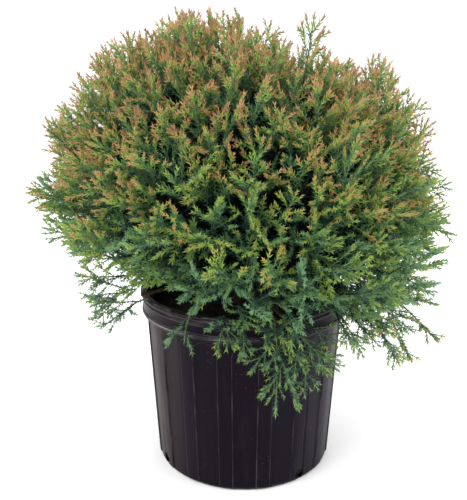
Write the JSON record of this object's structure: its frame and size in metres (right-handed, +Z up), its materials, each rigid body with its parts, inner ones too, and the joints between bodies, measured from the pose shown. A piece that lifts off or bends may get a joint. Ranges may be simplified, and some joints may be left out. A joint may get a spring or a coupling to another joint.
{
  "type": "potted conifer",
  "caption": "Globe-shaped dwarf conifer with feathery ascending sprays, drooping skirt sprays and a short hidden trunk, in a black fluted nursery pot.",
  "frame": {"origin": "centre of the flat underside of the pot", "axes": "+Z up along the pot's axis, -Y is the front, +X is the side where the foliage hangs lowest"},
  "size_m": [0.5395, 0.5295, 0.5981],
  "materials": {
    "pot": "satin, moulded, faintly scuffed",
    "soil": "rough, crumbly potting mix of bark and peat",
    "bark": "matt, fibrous, stringy",
    "foliage": "fine needles, dark inside, yellow green outside and bronze on the upper tips"
  },
  "bodies": {
    "root": {"bough_middle_1": "bark", "bough_middle_2": "bark", "bough_middle_3": "bark", "bough_middle_4": "bark", "bough_middle_5": "bark", "bough_middle_6": "bark", "bough_middle_7": "bark", "bough_skirt_1": "bark", "bough_skirt_2": "bark", "bough_skirt_3": "bark", "bough_skirt_4": "bark", "bough_skirt_5": "bark", "bough_skirt_6": "bark", "bough_skirt_7": "bark", "bough_skirt_8": "bark", "bough_upper_1": "bark", "bough_upper_2": "bark", "bough_upper_3": "bark", "bough_upper_4": "bark", "bough_upper_5": "bark", "foliage_middle_1": "foliage", "foliage_middle_2": "foliage", "foliage_middle_3": "foliage", "foliage_middle_4": "foliage", "foliage_middle_5": "foliage", "foliage_middle_6": "foliage", "foliage_middle_7": "foliage", "foliage_skirt_1": "foliage", "foliage_skirt_2": "foliage", "foliage_skirt_3": "foliage", "foliage_skirt_4": "foliage", "foliage_skirt_5": "foliage", "foliage_skirt_6": "foliage", "foliage_skirt_7": "foliage", "foliage_skirt_8": "foliage", "foliage_top": "foliage", "foliage_upper_1": "foliage", "foliage_upper_2": "foliage", "foliage_upper_3": "foliage", "foliage_upper_4": "foliage", "foliage_upper_5": "foliage", "pot": "pot", "soil": "soil", "trunk": "bark"}
  },
  "joints": []
}
